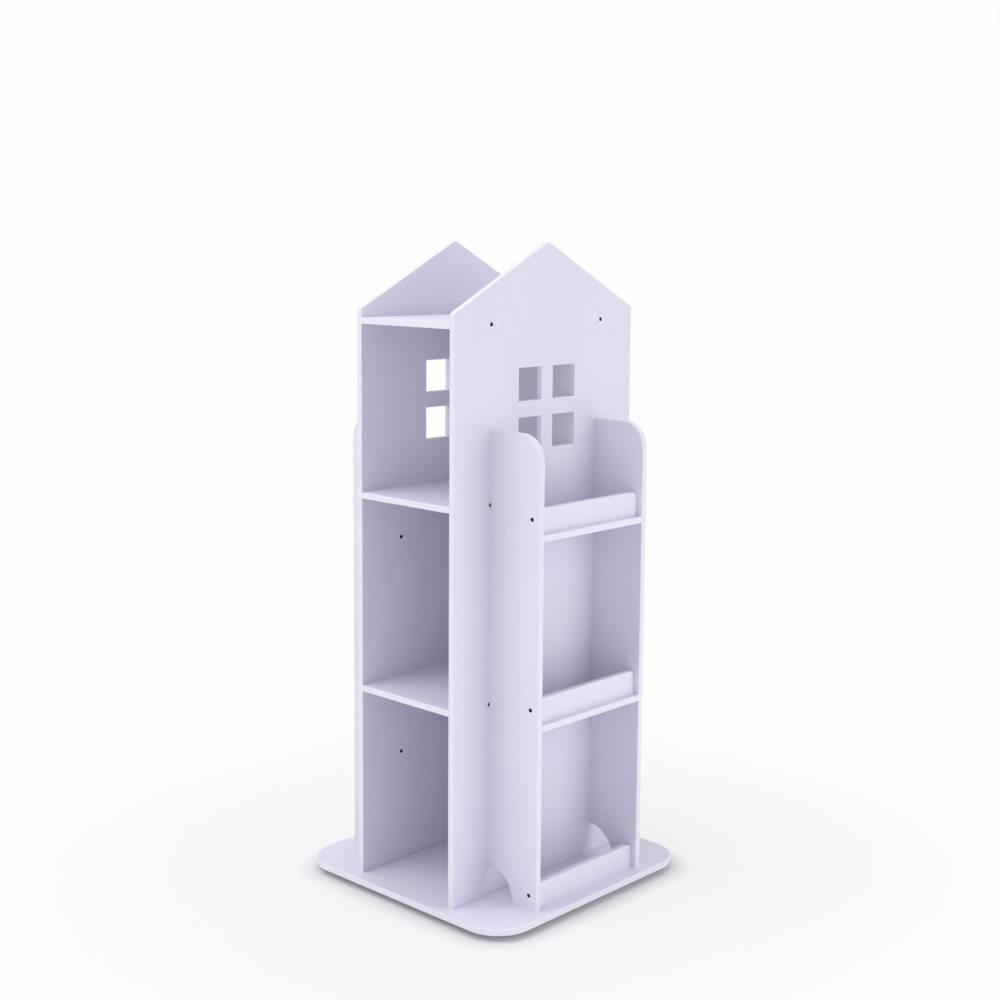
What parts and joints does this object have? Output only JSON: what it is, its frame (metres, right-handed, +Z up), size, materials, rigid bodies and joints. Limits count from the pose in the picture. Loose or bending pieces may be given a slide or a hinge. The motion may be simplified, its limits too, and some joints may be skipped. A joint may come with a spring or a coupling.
{
  "type": "rotating bookshelf",
  "caption": "House-shaped children's bookshelf on a turntable: book bays behind open sides, racks for books shown face on, gable panels with a window.",
  "frame": {"origin": "centre of the footprint, on the floor", "axes": "+Z up along the turning axis; -Y out of the front gable panel; -X out of the deep book bays"},
  "size_m": [0.44, 0.44, 1.0077],
  "materials": {
    "painted_board": "satin paint",
    "dowel_beech": "bare",
    "screw_black": "black phosphate",
    "ring_aluminium": "satin",
    "ball_steel": "polished",
    "cage_plastic": "matte",
    "rubber": "matte"
  },
  "bodies": {
    "stand": {"rubber_pads": "rubber", "turntable_outer_ring": "ring_aluminium"},
    "ball_track": {"ball_cage": "cage_plastic", "bearing_balls": "ball_steel"},
    "carousel": {"turntable_inner_ring": "ring_aluminium", "turntable_screws": "screw_black", "base_plate": "painted_board", "base_screws": "screw_black", "front_house_panel": "painted_board", "rear_house_panel": "painted_board", "lower_shelf": "painted_board", "middle_shelf": "painted_board", "top_shelf": "painted_board", "lower_divider": "painted_board", "middle_divider": "painted_board", "upper_divider": "painted_board", "divider_dowels": "dowel_beech", "shelf_screws": "screw_black", "front_rack_left_side": "painted_board", "front_rack_right_side": "painted_board", "front_rack_lower_shelf": "painted_board", "front_rack_upper_shelf": "painted_board", "front_rack_bottom_rail": "painted_board", "front_rack_middle_rail": "painted_board", "front_rack_top_rail": "painted_board", "front_rail_screws": "screw_black", "front_rack_screws": "screw_black", "rear_rack_left_side": "painted_board", "rear_rack_right_side": "painted_board", "rear_rack_lower_shelf": "painted_board", "rear_rack_upper_shelf": "painted_board", "rear_rack_bottom_rail": "painted_board", "rear_rack_middle_rail": "painted_board", "rear_rack_top_rail": "painted_board", "rear_rail_screws": "screw_black", "rear_rack_screws": "screw_black"}
  },
  "joints": [
    {"name": "carousel_spin", "type": "hinge", "parent": "stand", "child": "carousel", "pos_m": [0, 0, 0.01], "axis": [0, 0, 1], "continuous": true},
    {"name": "ball_track_spin", "type": "hinge", "parent": "stand", "child": "ball_track", "pos_m": [0, 0, 0.006], "axis": [0, 0, 1], "continuous": true}
  ],
  "couplings": [
    {"joint": "ball_track_spin", "follows": "carousel_spin", "ratio": 0.5}
  ]
}
